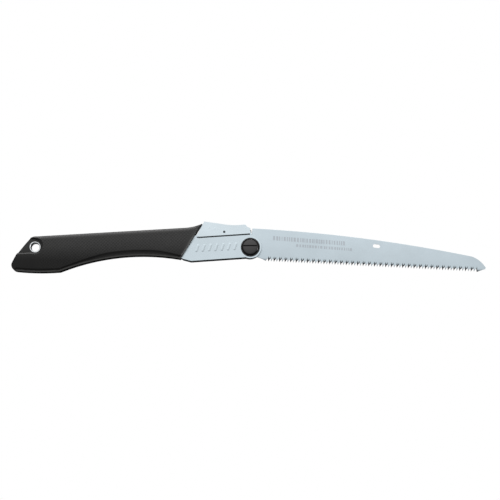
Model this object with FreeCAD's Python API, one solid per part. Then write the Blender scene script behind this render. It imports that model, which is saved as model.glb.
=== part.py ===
import FreeCAD
import Part
import math
import os

V = FreeCAD.Vector
Z = V(0, 0, 1)

# Folding pull saw, blade open, lying flat. Origin: centre of the hang hole. +X runs from the
# hang hole to the blade pivot, +Y towards the blade's spine, +Z towards the bolt-head side.

# Driving dimensions, mm
pivot_x = 234.5            # hang hole to blade pivot
blade_x = 235.2            # datum of the blade's outline
blade_t = 1.0
tooth_pitch = 3.003        # at the heel; each tooth adds a little
pitch_growth = 0.000934
tooth_count = 75
tooth_height = 3.4
first_tooth = 18.85        # blade datum to the first tooth tip
tooth_line_y = -14.2       # tooth-tip line at the blade datum
tooth_line_slope = -0.0502
hub_r = 4.0                # sleeve the blade turns on
running = 0.05             # radial running clearance
tang_r = 15.5
frame_half = 5.0           # half width of the steel channel
frame_t = 1.4
boss_r = 12.0
cup_r = 10.6
cup_floor = 1.0            # inner face of the pressed-in boss
washer_t = 0.4
grip_half = 11.0
grip_round = 3.0
slot_half = 2.5
pocket_floor = 5.6
eyelet_bore_r = 4.7
lever_in = 5.3             # inner face of the lever's side walls
lever_out = 6.5
pin_r = 1.25
lever_pin_at = (206.0, 16.7)
spring_pin_at = (191.0, 13.2)
stop_at = (218.2, 14.9)
rivet_at = (228.2, 21.1)
grip_rivets = ((60.0, 5.5), (130.0, 10.2))

inner = frame_half - frame_t


def edge_wire(points):
    """Closed wire: a plain point starts a line; ("arc", mid, end) bends to end through mid."""
    edges = []
    here = points[0]
    for item in points[1:] + [points[0]]:
        if item[0] == "arc":
            a, m, b = here, item[1], item[2]
            edges.append(Part.Arc(V(a[0], a[1], 0), V(m[0], m[1], 0), V(b[0], b[1], 0)).toShape())
            here = b
        else:
            if math.hypot(item[0] - here[0], item[1] - here[1]) > 1e-6:
                edges.append(Part.LineSegment(V(here[0], here[1], 0),
                                              V(item[0], item[1], 0)).toShape())
            here = item
    return Part.Wire(edges)


def plate(points, z0, z1):
    face = Part.Face(edge_wire(points))
    face.translate(V(0, 0, z0))
    return face.extrude(V(0, 0, z1 - z0))


def rod(x, y, r, z0, z1):
    return Part.makeCylinder(r, z1 - z0, V(x, y, z0), Z)


def tube(x, y, r_out, r_in, z0, z1):
    return rod(x, y, r_out, z0, z1).cut(rod(x, y, r_in, z0 - 1, z1 + 1))


def box(x0, x1, y0, y1, z0, z1):
    return Part.makeBox(x1 - x0, y1 - y0, z1 - z0, V(x0, y0, z0))


def pill(x, y, length, width, angle, z0, z1):
    """Round-ended bar lying along angle (degrees)."""
    h = length / 2 - width / 2
    r = width / 2
    shape = plate([(-h, -r), (h, -r), ("arc", (h + r, 0), (h, r)), (-h, r),
                   ("arc", (-h - r, 0), (-h, -r))], z0, z1)
    shape.rotate(V(0, 0, 0), Z, angle)
    shape.translate(V(x, y, 0))
    return shape


def both_sides(shape):
    return shape.fuse(shape.mirror(V(0, 0, 0), Z))


# ---------------------------------------------------------------- blade
def tip_y(x):
    return tooth_line_y + tooth_line_slope * x


def make_blade():
    # Outline counted from the blade datum: shoulder, spine, nose, teeth, heel, tang.
    outline = [(0.85, 16.9), (1.75, 21.2), ("arc", (120.0, 10.5), (241.4, -9.81)),
               ("arc", (250.2, -15.1), (256.2, -22.4)), (255.6, -23.6)]
    for k in reversed(range(tooth_count)):
        x = first_tooth + k * tooth_pitch + k * k * pitch_growth
        if k < tooth_count - 1:
            outline.append((x + 1.15, tip_y(x) + 2.0))
        outline.append((x, tip_y(x)))
        outline.append((x - 0.4, tip_y(x - 0.4) + tooth_height))
    outline += [(17.5, -12.4), (15.8, -14.3), (12.2, -12.35), (7.0, -10.5), (6.0, -9.9),
                ("arc", (-4.0, -10.68), (-10.6, -4.2)),
                ("arc", (-14.6, 5.2), (-9.0, 12.62)),
                ("arc", (-4.4, 14.86), (0.6, 15.49))]
    body = plate(outline, -blade_t / 2, blade_t / 2)
    body = body.cut(pill(137.0, 1.75, 7.9, 3.9, -7.9, -2, 2))
    body.translate(V(blade_x, 0, 0))
    return body.cut(rod(pivot_x, 0, hub_r + running, -2, 2))


# ---------------------------------------------------------------- steel channel
leg = [(pivot_x - 4.6, -11.9), (170.0, -16.0), (161.5, -13.8), (157.0, -10.6),
       ("arc", (115.0, -6.7), (44.0, -16.4)), (10.0, -17.0), (7.6, -12.0), (7.6, 3.0),
       (9.5, 9.06), (160.0, 17.9), (170.5, 13.0), (178.5, 13.0), (187.0, 17.6),
       (198.0, 20.3), (212.0, 20.3), (221.0, 18.3), (pivot_x - 0.8, 15.2),
       (pivot_x + 2.7, 13.0), (pivot_x + 6.6, 10.02), ("arc", (pivot_x + 9.9, -6.78),
                                                       (pivot_x - 4.6, -11.9))]


def make_frame():
    side = plate(leg, inner, frame_half)
    # Boss pressed inwards round the pivot, open outwards as a shallow cup.
    cup = rod(pivot_x, 0, boss_r, cup_floor, frame_half)
    cup = cup.cut(rod(pivot_x, 0, cup_r, cup_floor + frame_t, frame_half + 1))
    side = side.cut(rod(pivot_x, 0, cup_r, 0, frame_half + 1)).fuse(cup)
    # Row of raised round-ended ribs.
    for k in range(7):
        side = side.fuse(pill(176.6 + 6.9 * k, -1.1 + 0.35 * k, 9.6, 3.2, 72,
                              frame_half - 0.5, frame_half + 0.25))
    body = both_sides(side)
    web = plate([(9.5, 7.46), (160.0, 16.3), (160.0, 17.9), (9.5, 9.06)], -frame_half, frame_half)
    body = body.fuse(web)
    body = body.cut(rod(pivot_x, 0, hub_r, -9, 9))
    for x, y in (lever_pin_at, spring_pin_at, stop_at):
        body = body.cut(rod(x, y, pin_r, -9, 9))
    for x, y in grip_rivets:
        body = body.cut(rod(x, y, 2.0, -9, 9))
    return body.removeSplitter()


# ---------------------------------------------------------------- rubber grip
def make_grip():
    front_foot = (158.6, -13.75)
    outline = [(182.1, 25.6), (174.5, 22.75), (166.0, 21.2), (2.0, 11.55),
               ("arc", (-2.6, 11.1), (-5.0, 9.9)), (-11.0, 3.1), (-18.7, -6.6), (-20.4, -8.4),
               (-25.0, -17.2), ("arc", (-25.2, -22.0), (-19.6, -26.15)),
               ("arc", (4.0, -27.45), (27.6, -26.6)), ("arc", (92.0, -10.6), front_foot)]
    body = plate(outline, -grip_half, grip_half)
    # Long edges are rounded, the flat front edge stays sharp.
    chosen = []
    for edge in body.Edges:
        box_ = edge.BoundBox
        flat = box_.ZLength < 1e-6 and abs(abs(box_.ZMin) - grip_half) < 1e-6
        front = box_.XMin > 158.5 and box_.YLength > 20
        if flat and not front and box_.XLength > 20:
            chosen.append(edge)
    body = body.makeFillet(grip_round, chosen)
    # Recess round the hang hole, open to the slanted butt.
    pocket = [(-40.0, -7.6), (-18.7, -7.0), (-6.2, -6.3), (-2.6, -6.45),
              ("arc", (4.6, -5.2), (7.3, 0.2)), ("arc", (6.6, 5.1), (2.6, 8.5)),
              ("arc", (0.2, 9.35), (-2.9, 9.75)), (-7.0, 10.0), (-40.0, 34.0)]
    body = body.cut(plate(pocket, pocket_floor, 20)).cut(plate(pocket, -20, -pocket_floor))
    # Room for the steel channel, then the blade slot up through the underside.
    body = body.cut(plate(leg, -frame_half, frame_half))
    body = body.cut(plate([(-23.4, -40.0), (170.0, -40.0), (170.0, 0.0), (0.0, -8.0),
                           (-10.0, -9.5), (-23.4, -11.5)], -slot_half, slot_half))
    body = body.cut(rod(0, 0, eyelet_bore_r + 0.6, -20, 20))
    return body


# ---------------------------------------------------------------- hang-hole eyelet
def make_eyelet():
    barrel = tube(0, 0, eyelet_bore_r + 0.6, eyelet_bore_r, -6.4, 6.4)
    rim = tube(0, 0, 6.3, eyelet_bore_r, pocket_floor, 6.4)
    return barrel.fuse(rim)


# ---------------------------------------------------------------- pivot
def make_bolt():
    shank = rod(pivot_x, 0, 3.0, -2.2, 3.2)
    head = rod(pivot_x, 0, 10.2, 3.0, 5.6)
    # Domed top, then a coin slot across the dome.
    ball = Part.makeSphere(26.0, V(pivot_x, 0, 6.9 - 26.0))
    dome = rod(pivot_x, 0, 8.7, 5.0, 8.0).common(ball)
    slot = box(pivot_x - 7.7, pivot_x + 7.7, -1.7, 1.7, 5.2, 9)
    return shank.fuse(head).fuse(dome).cut(slot)


def make_nut():
    sleeve = tube(pivot_x, 0, hub_r, 3.0, -3.0, 2.2)
    flange = rod(pivot_x, 0, 9.6, -5.6, -2.4).cut(rod(pivot_x, 0, 3.0, -2.5, 0))
    slot = box(pivot_x - 7.0, pivot_x + 7.0, -1.5, 1.5, -6, -4.4)
    return sleeve.cut(rod(pivot_x, 0, 9.6, -9, -2.4)).fuse(flange).cut(slot)


# ---------------------------------------------------------------- lock lever
lever_side = [(184.3, 28.15), (203.0, 25.45), ("arc", (217.0, 24.1), (227.8, 24.8)),
              (229.7, 24.5), (231.2, 22.3), (234.6, 20.9), (234.8, 19.6), (234.0, 18.3),
              (235.0, 17.0), (235.1, 15.0), (234.3, 13.54), (178.2, 9.95),
              ("arc", (176.0, 10.4), (175.6, 12.3))]


def make_lever():
    side = plate(lever_side, lever_in, lever_out)
    top = plate([(184.3, 28.15), (203.0, 25.45), ("arc", (217.0, 24.1), (227.8, 24.8)),
                 (227.4, 23.6), ("arc", (217.0, 22.9), (203.0, 24.25)), (183.7, 27.0)],
                -lever_out, lever_out)
    body = both_sides(side).fuse(top)
    body = body.cut(rod(lever_pin_at[0], lever_pin_at[1], pin_r + running, -9, 9))
    body = body.cut(rod(rivet_at[0], rivet_at[1], pin_r, -9, 9))
    return body.removeSplitter()


def make_pawl():
    # Block between the lever's walls, with a narrow toe between the channel's legs.
    block = plate([(221.5, 20.4), (221.5, 22.6), (229.4, 22.6), (231.8, 19.6), (231.8, 18.9),
                   (224.0, 20.4)], -lever_in, lever_in)
    toe = plate([(224.0, 20.6), (231.9, 20.2), (234.4, 18.9), (235.6, 18.7), (235.6, 17.0),
                 (229.5, 17.0), (224.0, 18.6)], -3.2, 3.2)
    body = block.fuse(toe)
    return body.cut(rod(rivet_at[0], rivet_at[1], pin_r, -9, 9))


def make_spring():
    """Torsion spring round the lever pin: one leg under the lever's top, one on its pin."""
    wire_r = 0.35
    coil_r = 2.2
    rise = 0.85
    centre = V(lever_pin_at[0], lever_pin_at[1], 0)
    ends = []
    # Each leg leaves the coil along its tangent, the lower one from the coil's underside.
    for goal, hand in ((V(189.5, 14.87, 0), 1), (V(190.5, 25.6, 0), -1)):
        away = goal.sub(centre)
        at = math.atan2(away.y, away.x) + hand * math.acos(coil_r / away.Length)
        ends.append((at, goal))
    turns = 4 + ((ends[1][0] - ends[0][0]) / (2 * math.pi)) % 1
    z0 = -turns * rise / 2
    helix = Part.makeHelix(rise, turns * rise, coil_r)
    helix.rotate(V(0, 0, 0), Z, math.degrees(ends[0][0]))
    helix.translate(centre + V(0, 0, z0))
    # The legs keep the coil's slope, so the wire has no kink.
    slope = rise / (2 * math.pi * coil_r)
    legs = []
    for (at, goal), z, way in zip(ends, (z0, -z0), (-1, 1)):
        root = centre + V(coil_r * math.cos(at), coil_r * math.sin(at), z)
        run = (goal - V(root.x, root.y, 0)).Length
        legs.append((root, goal + V(0, 0, z + way * slope * run)))
    (root, foot), (last, top) = legs
    path = Part.Wire([Part.makeLine(foot, root)] + helix.Edges + [Part.makeLine(last, top)])
    section = Part.Wire([Part.Circle(foot, root - foot, wire_r).toShape()])
    return path.makePipeShell([section], True, False)


parts = {
    "blade": make_blade(),
    "frame": make_frame(),
    "grip": make_grip(),
    "eyelet": make_eyelet(),
    "eyelet_washer": tube(0, 0, 6.6, eyelet_bore_r + 0.6, -6.2, -pocket_floor),
    "pivot_bolt": make_bolt(),
    "pivot_nut": make_nut(),
    "spring_washer": tube(pivot_x, 0, 7.0, hub_r, 2.4, 3.0),
    "thrust_washer_top": tube(pivot_x, 0, 9.0, hub_r, cup_floor - washer_t, cup_floor),
    "thrust_washer_bottom": tube(pivot_x, 0, 9.0, hub_r, -cup_floor, washer_t - cup_floor),
    "lock_lever": make_lever(),
    "lever_pin": rod(lever_pin_at[0], lever_pin_at[1], pin_r, -6.1, 6.1),
    "lever_spring": make_spring(),
    "spring_pin": rod(spring_pin_at[0], spring_pin_at[1], pin_r, -frame_half, frame_half),
    "lock_pawl": make_pawl(),
    "pawl_rivet": rod(rivet_at[0], rivet_at[1], pin_r, -6.7, 6.7),
    "stop_pin": rod(stop_at[0], stop_at[1], pin_r, -frame_half, frame_half),
    "stop_spacer": tube(stop_at[0], stop_at[1], 3.8, pin_r, -inner, inner),
}
for name, (x, y) in zip(("rear", "front"), grip_rivets):
    parts["grip_rivet_" + name] = rod(x, y, 2.0, -frame_half, frame_half)
    parts["grip_spacer_" + name] = tube(x, y, 3.6, 2.0, -inner, inner)

os.makedirs("parts", exist_ok=True)
for name, shape in parts.items():
    shape.exportStep("parts/" + name + ".step")
    b = shape.BoundBox
    print(name, shape.isValid(), len(shape.Solids), round(shape.Volume, 1),
          [round(v, 2) for v in (b.XMin, b.XMax, b.YMin, b.YMax, b.ZMin, b.ZMax)])
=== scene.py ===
import math

import bmesh
import bpy
import numpy as np
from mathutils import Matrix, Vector


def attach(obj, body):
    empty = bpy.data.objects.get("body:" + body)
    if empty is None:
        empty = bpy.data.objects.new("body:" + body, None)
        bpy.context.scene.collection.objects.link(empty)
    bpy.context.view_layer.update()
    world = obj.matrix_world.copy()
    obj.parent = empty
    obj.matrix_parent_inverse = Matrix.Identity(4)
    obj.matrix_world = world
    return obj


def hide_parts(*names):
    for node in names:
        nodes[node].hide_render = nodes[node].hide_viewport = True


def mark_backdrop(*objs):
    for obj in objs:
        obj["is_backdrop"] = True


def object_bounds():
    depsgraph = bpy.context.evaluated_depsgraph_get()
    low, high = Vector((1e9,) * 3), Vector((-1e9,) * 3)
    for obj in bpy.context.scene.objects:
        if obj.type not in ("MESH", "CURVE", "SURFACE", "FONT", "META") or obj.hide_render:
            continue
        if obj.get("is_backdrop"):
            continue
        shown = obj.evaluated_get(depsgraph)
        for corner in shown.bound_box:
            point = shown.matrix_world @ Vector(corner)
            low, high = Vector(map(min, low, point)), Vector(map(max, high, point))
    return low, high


MM = 0.001
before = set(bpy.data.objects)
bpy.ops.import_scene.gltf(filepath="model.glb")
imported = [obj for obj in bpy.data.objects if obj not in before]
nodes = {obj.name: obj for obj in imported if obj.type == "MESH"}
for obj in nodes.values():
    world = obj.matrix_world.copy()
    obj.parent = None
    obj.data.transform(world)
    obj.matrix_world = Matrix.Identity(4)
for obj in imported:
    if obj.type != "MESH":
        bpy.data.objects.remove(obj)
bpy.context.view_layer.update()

# Sizes repeated from the CAD model, in millimetres.
PIVOT = 234.5
BLADE_X = 235.2
FRAME_HALF = 5.0
FRAME_T = 1.4
BOSS_R = 12.0
CUP_R = 10.45
SIDE_Z = 10.4
EYELET_R = 4.7
POCKET_FLOOR = 5.6
LEVER_IN = 5.3
LEVER_OUT = 6.5
LEVER_PIN = (206.0, 16.7)
SPRING_PIN = (191.0, 13.2)
STOP_PIN = (218.2, 14.9)
PIN_R = 1.25
TOOTH_PITCH = 3.003
PITCH_GROWTH = 0.000934
TOOTH_COUNT = 75
TOOTH_HEIGHT = 3.4
FIRST_TOOTH = 18.85
BLADE_HALF = 0.5
HUB_BORE = 4.05


# ---------------------------------------------------------------- node material helpers
def new_material(name):
    m = bpy.data.materials.new(name)
    m.use_nodes = True
    return m, m.node_tree.nodes, m.node_tree.links


def node(nodes_, kind, **settings):
    n = nodes_.new(kind)
    for key, value in settings.items():
        setattr(n, key, value)
    return n


def mapped_noise(nt, links, scale, detail, stretch):
    """Noise in object space, in metres, stretched per axis."""
    coords = node(nt, "ShaderNodeTexCoord")
    mapping = node(nt, "ShaderNodeMapping")
    mapping.inputs["Scale"].default_value = stretch
    noise = node(nt, "ShaderNodeTexNoise")
    noise.inputs["Scale"].default_value = scale
    noise.inputs["Detail"].default_value = detail
    links.new(coords.outputs["Object"], mapping.inputs["Vector"])
    links.new(mapping.outputs["Vector"], noise.inputs["Vector"])
    return noise


def ramp(nt, links, source, stops):
    r = node(nt, "ShaderNodeValToRGB")
    els = r.color_ramp.elements
    while len(els) < len(stops):
        els.new(0.5)
    for el, (pos, colour) in zip(els, stops):
        el.position = pos
        el.color = (*colour, 1) if len(colour) == 3 else colour
    links.new(source, r.inputs["Fac"])
    return r


def grey(v):
    return (v, v, v)


def metal(name, colour, rough, grain=(1, 1, 1), grain_scale=900.0, spread=0.05, bump=0.00002,
          tint=0.04):
    """Plated or ground metal: fine directional grain, slight tone and gloss changes."""
    m, nt, links = new_material(name)
    b = nt["Principled BSDF"]
    b.inputs["Metallic"].default_value = 1.0
    broad = mapped_noise(nt, links, 35.0, 3.0, (1, 1, 1))
    tone = ramp(nt, links, broad.outputs["Fac"],
                [(0.3, tuple(c * (1 - tint) for c in colour)),
                 (0.7, tuple(min(1.0, c * (1 + tint)) for c in colour))])
    links.new(tone.outputs["Color"], b.inputs["Base Color"])
    fine = mapped_noise(nt, links, grain_scale, 2.0, grain)
    gloss = node(nt, "ShaderNodeMapRange")
    gloss.inputs["To Min"].default_value = rough - spread
    gloss.inputs["To Max"].default_value = rough + spread
    links.new(fine.outputs["Fac"], gloss.inputs["Value"])
    links.new(gloss.outputs["Result"], b.inputs["Roughness"])
    bump_node = node(nt, "ShaderNodeBump")
    bump_node.inputs["Distance"].default_value = bump
    bump_node.inputs["Strength"].default_value = 0.5
    links.new(fine.outputs["Fac"], bump_node.inputs["Height"])
    links.new(bump_node.outputs["Normal"], b.inputs["Normal"])
    return m


def dielectric(name, low, high, rough_low, rough_high, scale, bump, specular=0.5):
    """Rubber or paint: mottled tone, mottled gloss and a fine skin."""
    m, nt, links = new_material(name)
    b = nt["Principled BSDF"]
    b.inputs["Specular IOR Level"].default_value = specular
    broad = mapped_noise(nt, links, 60.0, 4.0, (1, 1, 1))
    tone = ramp(nt, links, broad.outputs["Fac"], [(0.3, low), (0.7, high)])
    links.new(tone.outputs["Color"], b.inputs["Base Color"])
    fine = mapped_noise(nt, links, scale, 3.0, (1, 1, 1))
    gloss = node(nt, "ShaderNodeMapRange")
    gloss.inputs["To Min"].default_value = rough_low
    gloss.inputs["To Max"].default_value = rough_high
    links.new(fine.outputs["Fac"], gloss.inputs["Value"])
    links.new(gloss.outputs["Result"], b.inputs["Roughness"])
    bump_node = node(nt, "ShaderNodeBump")
    bump_node.inputs["Distance"].default_value = bump
    links.new(fine.outputs["Fac"], bump_node.inputs["Height"])
    links.new(bump_node.outputs["Normal"], b.inputs["Normal"])
    return m


def along(nt, links, slope_x, slope_y, offset):
    """Position in metres turned into slope_x * x + slope_y * y + offset."""
    coords = node(nt, "ShaderNodeTexCoord")
    split_ = node(nt, "ShaderNodeSeparateXYZ")
    links.new(coords.outputs["Object"], split_.inputs["Vector"])
    first = node(nt, "ShaderNodeMath", operation="MULTIPLY_ADD")
    first.inputs[1].default_value = slope_x
    first.inputs[2].default_value = offset
    links.new(split_.outputs["X"], first.inputs[0])
    second = node(nt, "ShaderNodeMath", operation="MULTIPLY_ADD")
    second.inputs[1].default_value = slope_y
    links.new(split_.outputs["Y"], second.inputs[0])
    links.new(first.outputs["Value"], second.inputs[2])
    return second.outputs["Value"]


def above_tips(nt, links):
    """Height above the line of the tooth tips; 1 is 40 mm."""
    return along(nt, links, 0.0502 / 0.04, 1 / 0.04, (0.0142 - 0.0502 * BLADE_X * MM) / 0.04)


def multiply(nt, links, one, two):
    mix = node(nt, "ShaderNodeMix", data_type="RGBA", blend_type="MULTIPLY")
    mix.inputs["Factor"].default_value = 1.0
    links.new(one, mix.inputs["A"])
    links.new(two, mix.inputs["B"])
    return mix.outputs["Result"]


def toned(material, source, stops):
    """Multiply a material's colour by a ramp over a position."""
    nt, links = material.node_tree.nodes, material.node_tree.links
    b = nt["Principled BSDF"]
    old = b.inputs["Base Color"].links[0].from_socket
    shade_ = ramp(nt, links, source(nt, links), stops)
    links.new(multiply(nt, links, old, shade_.outputs["Color"]), b.inputs["Base Color"])


# The ground face is painted lighter towards the spine, a painted light gradient, and darker towards
# the tooth points.
BLADE_STEEL = metal("blade_ground_steel", (0.60, 0.69, 0.745), 0.30, grain=(1.0, 14.0, 1.0),
                    grain_scale=500.0)
toned(BLADE_STEEL, above_tips, [(0.0, grey(0.45)), (0.05, grey(0.62)), (0.085, grey(0.97)),
                                (0.15, grey(1.0)), (0.35, grey(1.02)), (0.78, grey(1.09))])
# Tooth bevels: a shaded copy and a lit copy of one ground face, painted shade and painted light,
# both painted darker towards the tips.
BEVEL_PAINTED_SHADE = dielectric("tooth_bevel_painted_shade", (0.95, 0.98, 1.0), (1.0, 1.0, 1.0), 0.36, 0.5,
                         900.0, 0.00001, specular=0.35)
toned(BEVEL_PAINTED_SHADE, above_tips, [(0.0, (0.040, 0.046, 0.050)), (0.06, (0.060, 0.070, 0.078)),
                                (0.10, (0.13, 0.15, 0.165)), (0.15, (0.24, 0.27, 0.29))])
BEVEL_PAINTED_LIGHT = dielectric("tooth_bevel_painted_light", (0.95, 0.98, 1.0), (1.0, 1.0, 1.0), 0.36, 0.5,
                        900.0, 0.00001, specular=0.35)
toned(BEVEL_PAINTED_LIGHT, above_tips, [(0.0, (0.045, 0.050, 0.055)), (0.06, (0.10, 0.115, 0.125)),
                               (0.09, (0.24, 0.27, 0.29)), (0.14, (0.46, 0.51, 0.54))])
MARK_INK = metal("etched_mark", (0.555, 0.61, 0.66), 0.42, grain_scale=1500.0)
# Painted shade for the inside and underside of the frame channel.
FRAME_INSIDE_PAINTED_SHADE = metal("frame_inside_painted_shade", (0.16, 0.18, 0.19), 0.5, grain_scale=900.0)
# Painted shade: the lever pin is made near black where it sits in the shadow of its hole in the
# lever.
PIN_PAINTED_SHADE = metal("lever_pin_painted_shade", (0.07, 0.08, 0.09), 0.5, grain_scale=1200.0)
FRAME_CHROME = metal("frame_satin_plate", (0.66, 0.755, 0.81), 0.26, grain_scale=800.0)
LEVER_CHROME = metal("lever_satin_plate", (0.72, 0.815, 0.87), 0.24, grain_scale=800.0)
EYELET_CHROME = metal("eyelet_bright_plate", (0.90, 0.93, 0.95), 0.12, grain_scale=600.0,
                      spread=0.03)
PIN_STEEL = metal("pin_turned_steel", (0.50, 0.53, 0.55), 0.35, grain_scale=1200.0)
SPRING_STEEL = metal("spring_drawn_steel", (0.42, 0.43, 0.44), 0.33, grain_scale=1400.0)
PAWL_STEEL = metal("pawl_hardened_steel", (0.46, 0.46, 0.45), 0.4, grain_scale=900.0)
WASHER_BRASS = metal("washer_brass", (0.78, 0.57, 0.26), 0.3, grain_scale=900.0)
RUBBER = dielectric("grip_rubber", (0.0285, 0.0282, 0.0278), (0.0325, 0.0322, 0.0317), 0.46,
                    0.60, 2600.0, 0.00003)
# Painted highlight along the grip's lower lip.
RUBBER_LIP_PAINTED_LIGHT = dielectric("grip_rubber_lip_painted_light", (0.0320, 0.0308, 0.0290), (0.0360, 0.0348, 0.0325),
                        0.40, 0.50, 2600.0, 0.00002, specular=0.5)
# Painted highlight on the grip's front bead.
RUBBER_BEAD_PAINTED_LIGHT = dielectric("grip_rubber_bead_painted_light", (0.085, 0.085, 0.083), (0.095, 0.095, 0.093),
                         0.46, 0.60, 2600.0, 0.00002)


def painted_shade_below(material):
    """Painted shade: darker tone and weaker specular towards the lower side of the grip."""
    nt, links = material.node_tree.nodes, material.node_tree.links
    b = nt["Principled BSDF"]
    level = along(nt, links, 0.0, 1 / 0.03, 0.6)
    toned(material, lambda n, l: level, [(0.08, grey(0.62)), (0.60, grey(0.95)),
                                         (0.90, grey(1.06))])
    painted_sheen_shade = ramp(nt, links, level, [(0.13, grey(0.19)), (0.33, grey(0.30)), (0.62, grey(0.47)),
                                    (0.90, grey(0.53))])
    links.new(painted_sheen_shade.outputs["Color"], b.inputs["Specular IOR Level"])


painted_shade_below(RUBBER)
BOLT_BLACK = metal("bolt_black_oxide", (0.072, 0.071, 0.072), 0.21, grain_scale=1500.0,
                   spread=0.04, bump=0.000006)
# Painted shade for the bolt's coin slot and the recess round its head.
BOLT_PAINTED_SHADE = metal("bolt_recess_painted_shade", (0.018, 0.018, 0.018), 0.42, grain_scale=1500.0)


# ---------------------------------------------------------------- mesh helpers
def make_object(name, verts, faces, material, smooth_deg=30.0, face_slots=None, extra=()):
    """Mesh from millimetre points, in metres, with sharp edges above smooth_deg."""
    mesh = bpy.data.meshes.new(name)
    mesh.from_pydata([tuple(c * MM for c in v) for v in verts], [], faces)
    for m in (material, *extra):
        mesh.materials.append(m)
    if face_slots is not None:
        mesh.polygons.foreach_set("material_index", face_slots)
    mesh.validate()
    mesh.update()
    ob = bpy.data.objects.new(name, mesh)
    bpy.context.scene.collection.objects.link(ob)
    tidy(ob, smooth_deg)
    return ob


def tidy(ob, smooth_deg):
    bm = bmesh.new()
    bm.from_mesh(ob.data)
    bmesh.ops.remove_doubles(bm, verts=bm.verts, dist=1e-7)
    bmesh.ops.dissolve_degenerate(bm, edges=bm.edges, dist=1e-8)
    bmesh.ops.recalc_face_normals(bm, faces=bm.faces)
    bm.to_mesh(ob.data)
    bm.free()
    ob.data.shade_smooth()
    ob.data.set_sharp_from_angle(angle=math.radians(smooth_deg))


def apply_modifiers(ob):
    bpy.context.view_layer.update()
    graph = bpy.context.evaluated_depsgraph_get()
    mesh = bpy.data.meshes.new_from_object(ob.evaluated_get(graph))
    old = ob.data
    ob.modifiers.clear()
    ob.data = mesh
    mesh.name = ob.name
    bpy.data.meshes.remove(old)


def combine(ob, cutters, operation="DIFFERENCE", solver="MANIFOLD"):
    """Boolean of ob with each cutter in turn; the cutters are removed."""
    for cutter in cutters:
        mod = ob.modifiers.new("cut", "BOOLEAN")
        mod.operation = operation
        mod.solver = solver
        mod.object = cutter
    apply_modifiers(ob)
    for cutter in cutters:
        mesh = cutter.data
        bpy.data.objects.remove(cutter)
        bpy.data.meshes.remove(mesh)


def bevel(ob, width, segments=2, angle=35.0):
    mod = ob.modifiers.new("bevel", "BEVEL")
    mod.width = width * MM
    mod.segments = segments
    mod.limit_method = "ANGLE"
    mod.angle_limit = math.radians(angle)
    apply_modifiers(ob)


def flat_shading(ob, smooth_deg=40.0):
    """Large faces keep their own normal, narrow rounded ones blend between them."""
    ob.data.shade_smooth()
    ob.data.set_sharp_from_angle(angle=math.radians(smooth_deg))
    mod = ob.modifiers.new("normals", "WEIGHTED_NORMAL")
    mod.weight = 80
    mod.keep_sharp = True
    apply_modifiers(ob)


def arc_points(a, m, b, count):
    """Points after a, up to b, on the circle through a, m and b."""
    ax, ay = a
    bx, by = m
    cx, cy = b
    d = 2 * (ax * (by - cy) + bx * (cy - ay) + cx * (ay - by))
    ux = ((ax * ax + ay * ay) * (by - cy) + (bx * bx + by * by) * (cy - ay)
          + (cx * cx + cy * cy) * (ay - by)) / d
    uy = ((ax * ax + ay * ay) * (cx - bx) + (bx * bx + by * by) * (ax - cx)
          + (cx * cx + cy * cy) * (bx - ax)) / d
    r = math.hypot(ax - ux, ay - uy)
    t0 = math.atan2(ay - uy, ax - ux)
    t1 = math.atan2(by - uy, bx - ux)
    t2 = math.atan2(cy - uy, cx - ux)
    turn = 2 * math.pi
    way = 1 if (t1 - t0) % turn < (t2 - t0) % turn else -1
    sweep = (way * (t2 - t0)) % turn
    return [(ux + r * math.cos(t0 + way * sweep * k / count),
             uy + r * math.sin(t0 + way * sweep * k / count)) for k in range(1, count + 1)]


def outline(points, count=16):
    """Closed or open outline; ("arc", mid, end) bends to end through mid."""
    out = []
    for item in points:
        if item[0] == "arc":
            out += arc_points(out[-1], item[1], item[2], count)
        else:
            out.append(item)
    return out


def prism(name, points, z0, z1, material):
    n = len(points)
    verts = [(x, y, z0) for x, y in points] + [(x, y, z1) for x, y in points]
    faces = [list(range(n))[::-1], list(range(n, 2 * n))]
    faces += [[k, (k + 1) % n, n + (k + 1) % n, n + k] for k in range(n)]
    return make_object(name, verts, faces, material)


def lathe(name, profile, centre, material, steps=96, smooth_deg=35.0):
    """Closed ring or disc: profile of (r, z) turned about a vertical axis."""
    cx, cy = centre
    verts, faces = [], []
    n = len(profile)
    for s in range(steps):
        a = 2 * math.pi * s / steps
        verts += [(cx + r * math.cos(a), cy + r * math.sin(a), z) for r, z in profile]
    for s in range(steps):
        t = (s + 1) % steps
        for k in range(n):
            j = (k + 1) % n
            faces.append([s * n + k, t * n + k, t * n + j, s * n + j])
    return make_object(name, verts, faces, material, smooth_deg)


def fillet(cx, cz, r, a0, a1, count=6):
    """Arc of a turned profile, angles in degrees."""
    return [(cx + r * math.cos(math.radians(a0 + (a1 - a0) * k / count)),
             cz + r * math.sin(math.radians(a0 + (a1 - a0) * k / count)))
            for k in range(count + 1)]


def joined(name, parts):
    """One object from several."""
    bm = bmesh.new()
    for p in parts:
        bm.from_mesh(p.data)
    mesh = bpy.data.meshes.new(name)
    bm.to_mesh(mesh)
    bm.free()
    for m in parts[0].data.materials:
        mesh.materials.append(m)
    ob = bpy.data.objects.new(name, mesh)
    bpy.context.scene.collection.objects.link(ob)
    for p in parts:
        old = p.data
        bpy.data.objects.remove(p)
        bpy.data.meshes.remove(old)
    return ob


def mirrored(ob):
    """A copy on the far side of the saw."""
    twin = ob.copy()
    twin.data = ob.data.copy()
    bpy.context.scene.collection.objects.link(twin)
    for v in twin.data.vertices:
        v.co.z = -v.co.z
    twin.data.flip_normals()
    return twin


def place(ob, body, slot, *replaced):
    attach(ob, body)
    if replaced:
        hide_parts(*replaced)
    return ob


def smoothstep(lo, hi, x):
    t = np.clip((x - lo) / (hi - lo), 0, 1)
    return t * t * (3 - 2 * t)


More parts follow.
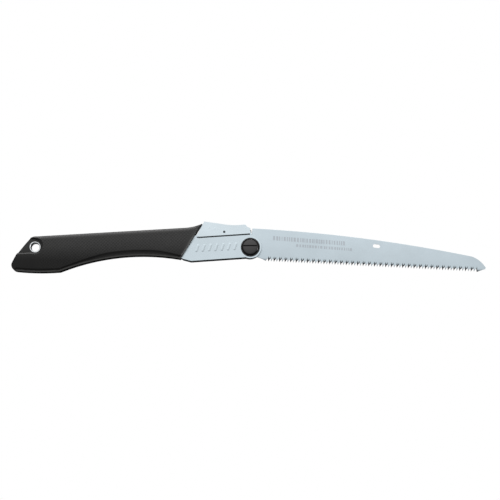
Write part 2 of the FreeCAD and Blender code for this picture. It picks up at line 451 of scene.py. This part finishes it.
# ---------------------------------------------------------------- rubber grip
def resample(points, fractions):
    p = np.array(points, float)
    seg = np.hypot(*np.diff(p, axis=0).T)
    at = np.concatenate([[0], np.cumsum(seg)])
    at /= at[-1]
    return np.stack([np.interp(fractions, at, p[:, 0]), np.interp(fractions, at, p[:, 1])], 1)


def distance_to(points, line):
    """Distance from each point to an open polyline."""
    best = np.full(len(points), 1e9)
    for a, b in zip(line[:-1], line[1:]):
        ab = b - a
        t = np.clip(((points - a) @ ab) / (ab @ ab), 0, 1)
        best = np.minimum(best, np.hypot(*(points - a - t[:, None] * ab).T))
    return best


GRIP_TOP = outline([(-5.0, 9.9), ("arc", (-2.6, 11.1), (2.0, 11.65)), (84.0, 16.45),
                    (162.0, 21.0), ("arc", (172.8, 22.5), (182.0, 25.55))], 24)
GRIP_BOTTOM = outline([(-19.6, -26.1), ("arc", (4.0, -27.42), (27.4, -26.62)),
                       ("arc", (92.0, -10.6), (158.6, -12.8))], 48)
GRIP_LEFT = outline([(-19.6, -26.1), ("arc", (-25.15, -22.0), (-24.95, -17.2)), (-20.4, -8.45),
                     (-18.7, -6.6), (-11.0, 3.05), (-5.0, 9.9)], 12)
GRIP_RIGHT = [(158.6, -12.8), (170.4, 6.4), (177.6, 19.3), (182.0, 25.55)]
POCKET = outline([(-40.0, -7.6), (-18.7, -7.0), (-6.2, -6.3), (-2.6, -6.45),
                  ("arc", (4.6, -5.2), (7.3, 0.2)), ("arc", (6.6, 5.1), (2.6, 8.5)),
                  ("arc", (0.2, 9.35), (-2.9, 9.75)), (-7.0, 10.0), (-40.0, 34.0)], 16)
LEG = outline([(PIVOT - 4.6, -11.9), (170.0, -16.0), (161.5, -13.8), (157.0, -10.6),
               ("arc", (115.0, -6.7), (44.0, -16.4)), (10.0, -17.0), (7.6, -12.0),
               (7.6, 3.0), (9.5, 9.06), (160.0, 17.9), (170.5, 13.0),
               (178.5, 13.0), (187.0, 17.6), (198.0, 20.3), (212.0, 20.3), (221.0, 18.3),
               (PIVOT - 0.8, 15.2), (PIVOT + 2.7, 13.0), (PIVOT + 6.6, 10.02),
               ("arc", (PIVOT + 9.9, -6.78), (PIVOT - 4.6, -11.9))], 24)


def grip_height(p):
    """Half thickness of the grip over the side-view points p."""
    top, bottom = np.array(GRIP_TOP), np.array(GRIP_BOTTOM)
    left, right = np.array(GRIP_LEFT), np.array(GRIP_RIGHT)
    d_top, d_bottom = distance_to(p, top), distance_to(p, bottom)
    d_left, d_right = distance_to(p, left), distance_to(p, right)
    x, y = p.T
    across = d_bottom / (d_bottom + d_top + 1e-9)
    # Side face, crowned so that its lower part turns down, most of all at the butt.
    crown = 2.0 + 1.6 * smoothstep(70, 5, x)
    side = SIDE_Z - crown * np.clip(0.72 - across, 0, 1) ** 2
    # Fine diamond knurl, fading out at the borders.
    pitch = 3.7
    u = np.cos(2 * np.pi * x / pitch)
    w = np.cos(2 * np.pi * (y - 0.058 * x) / (pitch * 0.92))
    scallop = 1.9 + 2.6 * smoothstep(36, 84, x) * smoothstep(166, 128, x)
    lip = 1.3
    field = smoothstep(2.6, 4.2, d_top) * smoothstep(lip + scallop, lip + scallop + 1.2, d_bottom)
    field *= smoothstep(4.8, 7.0, d_right) * smoothstep(2, 10, x)
    knurl_height = 0.13
    side = side + knurl_height * np.clip(u * w, -0.5, 1.0) * field
    # Raised bead along the front edge; above the lock lever it drops off sooner.
    crest = 0.35 + 0.85 * smoothstep(8, 13, y)
    side = side + 1.1 * smoothstep(crest + 2.5, crest, d_right)
    side = side - 2.2 * smoothstep(8, 13, y) * smoothstep(crest - 0.1, 0.0, d_right)
    # Top edge rounds over.
    edge_t, round_t = 6.9, 4.4
    k = np.clip(d_top / round_t, 0, 1)
    z = edge_t + (side - edge_t) * np.sqrt(1 - (1 - k) ** 2)
    # Along the bottom edge a flared lip, then a scallop up to a crisp line.
    lip_z = 8.5
    t = np.clip((d_bottom - lip) / scallop, 0, 1)
    flare_height = 0.6
    flare = flare_height * smoothstep(lip + 0.3, 0.25, d_bottom)
    foot_z = lip_z - flare_height
    low = foot_z + flare + (side - foot_z) * t ** 2.0
    z = np.minimum(z, low)
    # Butt end and front end round over.
    for d, r, z_edge in ((d_left, 1.6, 8.4), (d_right, 0.25, 10.3)):
        k = np.clip(d / r, 0, 1)
        z = np.minimum(z, z_edge + (11.2 - z_edge) * np.sqrt(1 - (1 - k) ** 2))
    return np.minimum(z, 10.98)


def pocket_cutter():
    """Recess round the hang hole: a steep wall above the floor, then a wide chamfer."""
    pts = np.array(POCKET)
    way = np.roll(pts, -1, 0) - np.roll(pts, 1, 0)
    way /= np.hypot(*way.T)[:, None]
    inward = np.column_stack([-way[:, 1], way[:, 0]])
    lean = np.minimum(0.7, np.hypot(*pts.T) - 6.45)[:, None]
    z_mid, z_top = 9.15, 12.0
    flare = (z_top - z_mid) * 1.25
    n = len(pts)
    verts = [(x, y, POCKET_FLOOR) for x, y in pts + inward * lean]
    verts += [(x, y, z_mid) for x, y in pts]
    verts += [(x, y, z_top) for x, y in pts - inward * flare]
    faces = [list(range(n))[::-1], list(range(2 * n, 3 * n))]
    for ring in (0, n):
        faces += [[ring + k, ring + (k + 1) % n, ring + n + (k + 1) % n, ring + n + k]
                  for k in range(n)]
    return make_object("cut_pocket", verts, faces, RUBBER)


def build_grip():
    cols, rows = 452, 78
    # Columns crowd together at the butt and front edges, rows at the top and bottom edges.
    s = np.concatenate([np.array([0, 0.12, 0.35, 0.7, 1.15]) / 190.0,
                        np.linspace(1.6 / 190, 1 - 1.4 / 190, cols),
                        1 - np.array([1.0, 0.65, 0.35, 0.12, 0]) / 190.0])
    v = np.concatenate([np.array([0, 0.004, 0.012, 0.024]), np.linspace(0.036, 0.945, rows),
                        np.array([0.957, 0.969, 0.980, 0.989, 0.996, 1.0])])
    ns, nv = len(s), len(v)
    bottom, top = resample(GRIP_BOTTOM, s), resample(GRIP_TOP, s)
    left, right = resample(GRIP_LEFT, v), resample(GRIP_RIGHT, v)
    S, W = s[:, None, None], v[None, :, None]
    patch = ((1 - W) * bottom[:, None] + W * top[:, None] + (1 - S) * left[None]
             + S * right[None]
             - ((1 - S) * (1 - W) * bottom[0] + S * (1 - W) * bottom[-1]
                + (1 - S) * W * top[0] + S * W * top[-1]))
    flat = patch.reshape(-1, 2)
    z = grip_height(flat)
    near = np.column_stack([flat, z])
    far = near * (1, 1, -1)
    verts = [*map(tuple, near), *map(tuple, far)]
    n = ns * nv
    faces = []
    for i in range(ns - 1):
        for j in range(nv - 1):
            a, b = i * nv + j, (i + 1) * nv + j
            faces.append([a, b, b + 1, a + 1])
            faces.append([n + a + 1, n + b + 1, n + b, n + a])
    # The rim joins the two sides, with a slight crown along the top.
    rim = ([i * nv for i in range(ns)] + [(ns - 1) * nv + j for j in range(1, nv)]
           + [i * nv + nv - 1 for i in range(ns - 2, -1, -1)] + list(range(nv - 2, 0, -1)))
    fractions = (0.8, 0.45, 0.0, -0.45, -0.8)
    loops = [rim]
    for f in fractions:
        loop = []
        for at in rim:
            x, y, zz = near[at]
            loop.append(len(verts))
            verts.append((x, y, zz * f))
        loops.append(loop)
    loops.append([n + at for at in rim])
    count = len(rim)
    for upper, lower in zip(loops[:-1], loops[1:]):
        for k in range(count):
            m = (k + 1) % count
            faces.append([upper[k], lower[k], lower[m], upper[m]])
    grip = make_object("grip_moulded", verts, faces, RUBBER, 38.0)
    pocket = pocket_cutter()
    cutters = [
        pocket, mirrored(pocket),
        prism("cut_channel", LEG, -FRAME_HALF - 0.02, FRAME_HALF + 0.02, RUBBER),
        prism("cut_slot", [(-23.4, -40.0), (175.0, -40.0), (175.0, 0.0), (0.0, -8.0),
                           (-10.0, -9.5), (-23.4, -11.5)], -2.5, 2.5, RUBBER),
        lathe("cut_hole", [(0.001, -14), (EYELET_R + 0.62, -14), (EYELET_R + 0.62, 14),
                           (0.001, 14)], (0, 0), RUBBER, 64),
    ]
    combine(grip, cutters)
    tidy(grip, 38.0)
    # The flared lip is painted a little lighter, a painted highlight, and is a little glossier.
    mesh = grip.data
    mesh.materials.append(RUBBER_LIP_PAINTED_LIGHT)
    centres = np.empty(len(mesh.polygons) * 3)
    mesh.polygons.foreach_get("center", centres)
    centres = centres.reshape(-1, 3) / MM
    on_lip = distance_to(centres[:, :2], np.array(GRIP_BOTTOM)) < 1.3
    on_lip &= np.abs(centres[:, 2]) > 6.5
    # The bead along the front edge, below the lock lever's rear end, is painted much lighter: a
    # painted highlight.
    mesh.materials.append(RUBBER_BEAD_PAINTED_LIGHT)
    on_bead = distance_to(centres[:, :2], np.array(GRIP_RIGHT)) < 1.6
    on_bead &= (np.abs(centres[:, 2]) > 5.4) & (centres[:, 1] < 21.0)
    indices = np.where(on_bead, 2, np.where(on_lip, 1, 0))
    mesh.polygons.foreach_set("material_index", indices.astype(np.int32))
    return place(grip, "handle", "grip_rubber", "grip")


build_grip()


# ---------------------------------------------------------------- steel channel
def dome_bar(name, x, y, length, width, angle, z, height, material, foot=0.92, steps=8):
    """Embossed round-ended bar whose sides flow out of the plate it stands on."""
    half = length / 2 - width / 2
    rings = []
    for k in range(steps + 1):
        t = k / steps
        r = (width / 2) * (1 - foot * t)
        rings.append((r, height * (t * t * (3 - 2 * t))))
    loop = [(math.cos(a), math.sin(a)) for a in np.linspace(0, 2 * math.pi, 40, endpoint=False)]
    verts, faces = [], []
    c, s = math.cos(math.radians(angle)), math.sin(math.radians(angle))

    def put(px, py, pz):
        verts.append((x + c * px - s * py, y + s * px + c * py, pz))

    for px, py in loop:
        put(px * rings[0][0] + math.copysign(half, px), py * rings[0][0], z - 0.4)
    for r, h in rings:
        for px, py in loop:
            put(px * r + math.copysign(half, px), py * r, z + h - 0.02)
    n = len(loop)
    for k in range(len(rings)):
        for m in range(n):
            q = (m + 1) % n
            faces.append([k * n + m, k * n + q, (k + 1) * n + q, (k + 1) * n + m])
    faces.append(list(range(n))[::-1])
    faces.append(list(range(len(rings) * n, (len(rings) + 1) * n)))
    return make_object(name, verts, faces, material, 50.0)


def build_frame():
    inner = FRAME_HALF - FRAME_T
    side = prism("frame_side", LEG, inner, FRAME_HALF, FRAME_CHROME)
    # The lower edge leans in a little where the channel is bent.
    for v in side.data.vertices:
        x, y, z = v.co / MM
        if z > 4.5 and y < -11.2 and x > 160:
            v.co.y += 1.0 * MM
    cup_outside = lathe("cup_body", [(0.001, 1.0), (BOSS_R - 0.9, 1.0), (BOSS_R, 1.9),
                                     (BOSS_R, FRAME_HALF), (0.001, FRAME_HALF)],
                        (PIVOT, 0), FRAME_CHROME)
    combine(side, [cup_outside], "UNION")
    holes = [lathe("cup_hollow", [(0.001, 2.4), (CUP_R - 0.5, 2.4), (CUP_R, 2.9), (CUP_R, 8),
                                  (0.001, 8)], (PIVOT, 0), FRAME_CHROME),
             lathe("hub_hole", [(0.001, -8), (4.0, -8), (4.0, 8), (0.001, 8)], (PIVOT, 0),
                   FRAME_CHROME, 48)]
    for at in (LEVER_PIN, SPRING_PIN, STOP_PIN):
        holes.append(lathe("pin_hole", [(0.001, -8), (PIN_R, -8), (PIN_R, 8), (0.001, 8)], at,
                           FRAME_CHROME, 24))
    combine(side, holes)
    bevel(side, 0.1)
    # Painted shade: the inside faces of the bent channel and its downward-facing edges get a dark
    # dull metal.
    side.data.materials.append(FRAME_INSIDE_PAINTED_SHADE)
    for p in side.data.polygons:
        if p.center.z < (inner + 0.05) * MM or p.normal.y < -0.5:
            p.material_index = 1
    web = prism("frame_web", [(9.5, 7.46), (160.0, 16.3), (160.0, 17.9), (9.5, 9.06)], -inner,
                inner, FRAME_CHROME)
    marks = [dome_bar("rib", 176.6 + 6.9 * k, -1.1 + 0.35 * k, 9.6, 3.9, 72, FRAME_HALF, 0.22,
                      FRAME_CHROME) for k in range(7)]
    parts = [side, *marks]
    twins = [mirrored(p) for p in parts]
    frame_ = joined("frame_channel", [*parts, *twins, web])
    flat_shading(frame_)
    return place(frame_, "handle", "frame_chrome", "frame")


build_frame()


# ---------------------------------------------------------------- lock lever
LEVER_TOP = outline([(184.3, 28.1), (203.0, 25.4), ("arc", (217.0, 24.05), (227.6, 24.75))], 16)
LEVER_SIDE = LEVER_TOP + [(229.6, 24.4), (231.1, 22.2), (234.4, 20.8), (234.7, 20.3),
                          (234.6, 19.6), (233.9, 18.4), (234.7, 17.2), (235.0, 15.4),
                          (234.3, 13.7), (178.6, 10.0), (176.8, 10.15), (175.8, 11.2),
                          (175.7, 12.5)]


def build_lever():
    side = prism("lever_side", LEVER_SIDE, LEVER_IN, LEVER_OUT, LEVER_CHROME)
    # The lower edge is chamfered outwards.
    bm = bmesh.new()
    bm.from_mesh(side.data)
    for v in bm.verts:
        x, y, z = v.co / MM
        if z > 6 and y < 15.6 and not (x < 176.5 and y > 11.0):
            v.co.y += 1.3 * MM
            if x < 178:
                v.co.x += 0.5 * MM
    bm.to_mesh(side.data)
    bm.free()
    holes = [lathe("pin_hole", [(0.001, 0), (PIN_R + 0.05, 0), (PIN_R + 0.05, 9), (0.001, 9)],
                   LEVER_PIN, LEVER_CHROME, 32)]
    combine(side, holes)
    bevel(side, 0.08, 2, angle=25)
    inner_top = [(x, y - 1.2) for x, y in LEVER_TOP]
    top = prism("lever_top", LEVER_TOP + [(227.2, 23.75)] + inner_top[::-1][1:],
                -LEVER_IN - 0.05, LEVER_IN + 0.05, LEVER_CHROME)
    bars = [dome_bar("lever_bar", 189.6 + 6.0 * k, 21.6 - 1.4 * k, 4.6, 2.6, 78, LEVER_OUT,
                     0.07, LEVER_CHROME) for k in range(2)]
    parts = [side, *bars]
    twins = [mirrored(p) for p in parts]
    lever = joined("lever_channel", [*parts, *twins, top])
    flat_shading(lever)
    return place(lever, "lever", "lever_chrome", "lock_lever")


build_lever()


# ---------------------------------------------------------------- pivot bolt and nut
def build_bolt():
    profile = ([(0.001, -2.2), (3.0, -2.2), (3.0, 3.0), (9.6, 3.0)]
               + fillet(9.7, 3.5, 0.5, -90, 0, 3) + fillet(9.8, 5.4, 0.4, 0, 90, 4)
               + [(9.35, 5.8), (9.1, 5.45), (8.8, 5.35), (8.6, 5.5)]
               + [(r, 6.84 - (r / 8.5) ** 2 * 0.7 - 0.42 * (r / 8.5) ** 12)
                  for r in (8.5, 8.4, 8.25, 8.1, 7.95, 7.8, 7.6, 7.4, 7.1, 6.8, 6.4, 6.0,
                            5.4, 4.8, 4.0, 3.0, 2.0, 1.0, 0.001)])
    bolt = lathe("bolt_slotted", profile, (PIVOT, 0), BOLT_BLACK, 128)
    slot = prism("coin_slot", [(PIVOT - 7.9, 0.9), (PIVOT + 7.2, 0.9), (PIVOT + 7.2, 2.25),
                               (PIVOT - 7.9, 2.25)], 4.6, 9.0, BOLT_BLACK)
    combine(bolt, [slot])
    # Painted shade: the coin slot, and the groove and sides round the head, take a near-black
    # metal.
    bolt.data.materials.append(BOLT_PAINTED_SHADE)
    for p in bolt.data.polygons:
        x, y, z = p.center / MM
        in_slot = abs(x - PIVOT + 0.35) < 7.6 and 0.85 < y < 2.3 and abs(p.normal.z) < 0.3
        if in_slot or 4.5 < z < 4.7 or z < 5.75 and z > 3.2 and math.hypot(x - PIVOT, y) > 8.3:
            p.material_index = 1
    flat_shading(bolt)
    return place(bolt, "handle", "bolt_black", "pivot_bolt")


def build_nut():
    profile = ([(3.0, 2.2), (4.0, 2.2), (4.0, -2.4), (9.2, -2.4)]
               + fillet(9.2, -2.8, 0.4, 90, 0, 3) + fillet(9.0, -5.0, 0.6, 0, -90, 5)
               + [(3.0, -5.6)])
    nut = lathe("nut_flanged", profile, (PIVOT, 0), BOLT_BLACK, 128)
    plug = lathe("nut_face", [(0.001, -2.5), (3.05, -2.5), (3.05, -5.6), (0.001, -5.6)],
                 (PIVOT, 0), BOLT_BLACK, 48)
    combine(nut, [plug], "UNION")
    slot = prism("nut_slot", [(PIVOT - 7.0, -0.8), (PIVOT + 7.0, -0.8), (PIVOT + 7.0, 0.8),
                              (PIVOT - 7.0, 0.8)], -7.0, -4.4, BOLT_BLACK)
    combine(nut, [slot])
    bevel(nut, 0.12, 2, angle=50)
    flat_shading(nut)
    return place(nut, "handle", "bolt_black", "pivot_nut")


build_bolt()
build_nut()


# ---------------------------------------------------------------- eyelet
def build_eyelet():
    r = EYELET_R
    profile = ([(r, -6.4)] + [(r, z) for z in (-5.0, 0.0, 5.0)]
               + fillet(5.5, 5.6, 0.8, 180, 90, 8) + fillet(5.6, 5.74, 0.66, 90, -10, 8)
               + [(5.35, 5.58), (5.3, 5.5), (5.3, -6.0)] + fillet(5.0, -6.1, 0.3, 0, -90, 4))
    eyelet = lathe("eyelet_rolled", profile, (0, 0), EYELET_CHROME, 96, 50)
    return place(eyelet, "handle", "eyelet_chrome", "eyelet")


build_eyelet()


# ---------------------------------------------------------------- blade
def tip_y(x):
    return -14.2 - 0.0502 * x


def build_blade():
    """Ground plate with teeth bevelled on alternate faces; x is counted from BLADE_X."""
    verts, faces, slots = [], [], []
    h = BLADE_HALF

    def add(x, y, z):
        verts.append((BLADE_X + x, y, z))
        return len(verts) - 1

    def face(ids, slot=0):
        faces.append(ids)
        slots.append(slot)

    tips = [FIRST_TOOTH + k * TOOTH_PITCH + k * k * PITCH_GROWTH for k in range(TOOTH_COUNT)]
    roots = [(x - 0.4, tip_y(x - 0.4) + TOOTH_HEIGHT) for x in tips] + [(249.0, -25.55)]
    gullets = [{1: add(x, y, h), -1: add(x, y, -h)} for x, y in roots]
    edge_line = {1: [], -1: []}
    for k, x in enumerate(tips):
        last = k == TOOTH_COUNT - 1
        side = 1 if k % 2 == 0 else -1
        left, right = gullets[k], gullets[k + 1]
        y = tip_y(x)
        tip = add(x, y, -side * h)
        flank = add(x + 1.15, y + 2.0 if not last else y + 0.45, -side * h)
        # The grinding wheel runs out into the face above each gullet.
        out_l = add(roots[k][0] + 0.85, y + 6.0, side * h)
        ridge = add(x + (0.5 if last else 1.0), y + (1.6 if last else 3.1), side * h)
        out_r = add(roots[k + 1][0] + (-0.6 if last else -0.15), y + (1.4 if last else 5.7),
                    side * h)
        # Facets in slot 1 take the painted-shade bevel copy, facets in slot 2 the painted-light
        # copy.
        face([tip, left[-side], out_l, ridge], 1)
        face([ridge, flank, tip], 1)
        face([ridge, out_r, right[-side], flank], 2)
        face([left[side], left[-side], out_l], 1)
        face([right[side], out_r, right[-side]], 2)
        edge_line[side] += [left[side], out_l, ridge, out_r]
        edge_line[-side] += [left[-side], tip, flank]
    for side in (1, -1):
        edge_line[side].append(gullets[-1][side])
    # Body outline, clockwise from the heel: tang, shoulder, spine, nose.
    rest = outline([(17.5, -12.4), (15.8, -14.3), (12.2, -12.35), (7.0, -10.5), (6.0, -9.9),
                    ("arc", (-4.0, -10.68), (-10.6, -4.2)),
                    ("arc", (-14.6, 5.2), (-9.0, 12.62)), ("arc", (-4.4, 14.86), (0.6, 15.49)),
                    (0.85, 16.9), (1.75, 21.18), ("arc", (120.0, 10.49), (241.4, -9.81)),
                    ("arc", (250.2, -15.1), (256.15, -22.3)), (255.5, -23.5)], 32)
    pts = np.array(rest)
    before, after = np.roll(pts, 1, 0), np.roll(pts, -1, 0)
    before[0], after[-1] = pts[0], pts[-1]
    way = after - before
    way /= np.hypot(*way.T)[:, None]
    inward = np.column_stack([way[:, 1], -way[:, 0]])
    rings = []
    for k, (x, y) in enumerate(rest):
        ix, iy = x + inward[k][0] * 0.12, y + inward[k][1] * 0.12
        rings.append((add(ix, iy, h), add(x, y, h - 0.05), add(x, y, 0.05 - h),
                      add(ix, iy, -h)))
    for a, b in zip(rings[:-1], rings[1:]):
        for q in range(3):
            face([a[q], a[q + 1], b[q + 1], b[q]])
    # The heel's and nose's ends meet the first and last gullets.
    first, last_g = gullets[0], gullets[-1]
    a, b = rings[0], rings[-1]
    face([first[1], first[-1], a[3], a[2], a[1], a[0]])
    face([b[0], b[1], b[2], b[3], last_g[-1], last_g[1]])
    face([r[0] for r in rings] + edge_line[1][::-1])
    face([r[3] for r in rings][::-1] + edge_line[-1])
    blade = make_object("blade_ground", verts, faces, BLADE_STEEL, 20.0, slots,
                        (BEVEL_PAINTED_SHADE, BEVEL_PAINTED_LIGHT))
    bore = lathe("bore", [(0.001, -3), (HUB_BORE, -3), (HUB_BORE, 3), (0.001, 3)], (PIVOT, 0),
                 BLADE_STEEL, 64)
    half = 7.9 / 2 - 3.9 / 2
    pill = outline([(-half, -1.95), (half, -1.95), ("arc", (half + 1.95, 0), (half, 1.95)),
                    (-half, 1.95), ("arc", (-half - 1.95, 0), (-half, -1.95))], 12)[:-1]
    c, s = math.cos(math.radians(-7.9)), math.sin(math.radians(-7.9))
    oblong = prism("oblong", [(BLADE_X + 137.0 + c * px - s * py, 1.75 + s * px + c * py)
                              for px, py in pill], -3, 3, BLADE_STEEL)
    combine(blade, [bore, oblong])
    flat_shading(blade, 15.0)
    return place(blade, "blade", "blade_steel", "blade")


def build_marks():
    """Faint generic bars etched in two rows on the near face of the blade."""
    rng = np.random.default_rng(7)
    verts, faces = [], []
    for x0, y0, length, tall in ((259.5, 8.2, 78.0, 4.6), (284.5, 0.9, 60.0, 3.0)):
        x = 0.0
        while x < length:
            w = float(rng.uniform(0.9, 2.4))
            slope = -0.075
            n = len(verts)
            for px, py in ((x, 0), (x + w, 0), (x + w, tall), (x, tall)):
                for z in (BLADE_HALF - 0.05, BLADE_HALF + 0.012):
                    verts.append((x0 + px, y0 + py + slope * px, z))
            a = [n + 2 * k for k in range(4)]
            faces += [a[::-1], [k + 1 for k in a]]
            faces += [[a[k], a[(k + 1) % 4], a[(k + 1) % 4] + 1, a[k] + 1] for k in range(4)]
            x += w + float(rng.uniform(0.7, 1.6))
    marks = make_object("blade_marks", verts, faces, MARK_INK)
    return place(marks, "blade", "blade_steel")


build_blade()
build_marks()


# ---------------------------------------------------------------- small CAD parts keep their shape
for name, material in (("eyelet_washer", EYELET_CHROME), ("spring_washer", SPRING_STEEL),
                       ("thrust_washer_top", WASHER_BRASS),
                       ("thrust_washer_bottom", WASHER_BRASS), ("lever_pin", PIN_PAINTED_SHADE),
                       ("lever_spring", SPRING_STEEL), ("spring_pin", PIN_STEEL),
                       ("lock_pawl", PAWL_STEEL), ("pawl_rivet", LEVER_CHROME),
                       ("stop_pin", PIN_STEEL), ("stop_spacer", PIN_STEEL),
                       ("grip_rivet_rear", PIN_STEEL), ("grip_spacer_rear", PIN_STEEL),
                       ("grip_rivet_front", PIN_STEEL), ("grip_spacer_front", PIN_STEEL)):
    for slot_ in nodes[name].material_slots:
        slot_.material = material


# ---------------------------------------------------------------- stage, light and camera
def emitter(name, colour, strength):
    m, nt, links = new_material(name)
    nt.remove(nt["Principled BSDF"])
    e = node(nt, "ShaderNodeEmission")
    e.inputs["Color"].default_value = (*colour, 1)
    e.inputs["Strength"].default_value = strength
    links.new(e.outputs["Emission"], nt["Material Output"].inputs["Surface"])
    return m


def stage_piece(name, verts, faces, strength):
    ob = make_object(name, verts, faces, emitter(name + "_white", (1, 1, 1), strength))
    ob.visible_diffuse = False
    ob.visible_glossy = False
    ob.visible_transmission = False
    ob.visible_shadow = False
    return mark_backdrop(ob) or ob


low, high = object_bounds()
floor_z = low.z / MM - 0.05
R = 9000.0
stage_piece("floor", [(-R, -R, floor_z), (R, -R, floor_z), (R, R, floor_z), (-R, R, floor_z)],
            [[0, 1, 2, 3]], 1.0)
wall = [(R * math.cos(a), R * math.sin(a)) for a in np.linspace(0, 2 * math.pi, 48, endpoint=False)]
stage_piece("backdrop", [(x, y, z) for z in (floor_z, 6000.0) for x, y in wall],
            [[k, (k + 1) % 48, 48 + (k + 1) % 48, 48 + k] for k in range(48)], 1.0)

world = bpy.data.worlds.new("studio")
bpy.context.scene.world = world
world.use_nodes = True
wt, wl = world.node_tree.nodes, world.node_tree.links
background = wt["Background"]
coords = node(wt, "ShaderNodeTexCoord")
split = node(wt, "ShaderNodeSeparateXYZ")
wl.new(coords.outputs["Generated"], split.inputs["Vector"])
# The room is bright overhead and towards the spine, dark past the teeth and at both ends.
lean_y = node(wt, "ShaderNodeMath", operation="MULTIPLY_ADD")
wl.new(split.outputs["Y"], lean_y.inputs[0])
lean_y.inputs[1].default_value = 0.6
lean_z = node(wt, "ShaderNodeMath", operation="MULTIPLY_ADD")
wl.new(split.outputs["Z"], lean_z.inputs[0])
lean_z.inputs[1].default_value = 0.8
wl.new(lean_z.outputs["Value"], lean_y.inputs[2])
lean_x = node(wt, "ShaderNodeMath", operation="MULTIPLY")
wl.new(split.outputs["X"], lean_x.inputs[0])
lean_x.inputs[1].default_value = -0.10
wl.new(lean_x.outputs["Value"], lean_z.inputs[2])
shade = ramp(wt, wl, lean_y.outputs["Value"],
             [(0.0, grey(0.032)), (0.35, grey(0.10)), (0.60, grey(0.34)), (0.74, grey(0.56)),
              (0.86, grey(0.717)), (1.0, grey(0.93))])
wl.new(shade.outputs["Color"], background.inputs["Color"])
background.inputs["Strength"].default_value = 1.28


def area_light(name, at, target, size, watts):
    data = bpy.data.lights.new(name, "AREA")
    data.shape = "RECTANGLE"
    data.size, data.size_y = size
    data.energy = watts
    ob = bpy.data.objects.new(name, data)
    bpy.context.scene.collection.objects.link(ob)
    ob.location = at
    ob.rotation_mode = "QUATERNION"
    ob.rotation_quaternion = (Vector(target) - Vector(at)).to_track_quat("-Z", "Y")
    ob.visible_camera = False
    return ob


area_light("spine_side", (0.1, 2.0, 0.15), (0.1, 0, 0), (1.2, 0.5), 26.0)
area_light("right_end", (1.5, -0.15, 0.95), (0.235, 0, 0), (0.4, 0.4), 2.4)

TILT = math.radians(6.5)
DISTANCE = 2.5
FIELD = 0.546
aim = Vector((0.2341, -0.0025, 0.0))
cam_data = bpy.data.cameras.new("camera")
cam_data.sensor_width = 36.0
cam_data.lens = 36.0 * DISTANCE / FIELD
cam_data.clip_end = 60.0
cam = bpy.data.objects.new("camera", cam_data)
bpy.context.scene.collection.objects.link(cam)
cam.location = aim + DISTANCE * Vector((0, -math.sin(TILT), math.cos(TILT)))
cam.rotation_euler = (TILT, 0, 0)
bpy.context.scene.camera = cam
bpy.context.scene.view_settings.view_transform = "Standard"
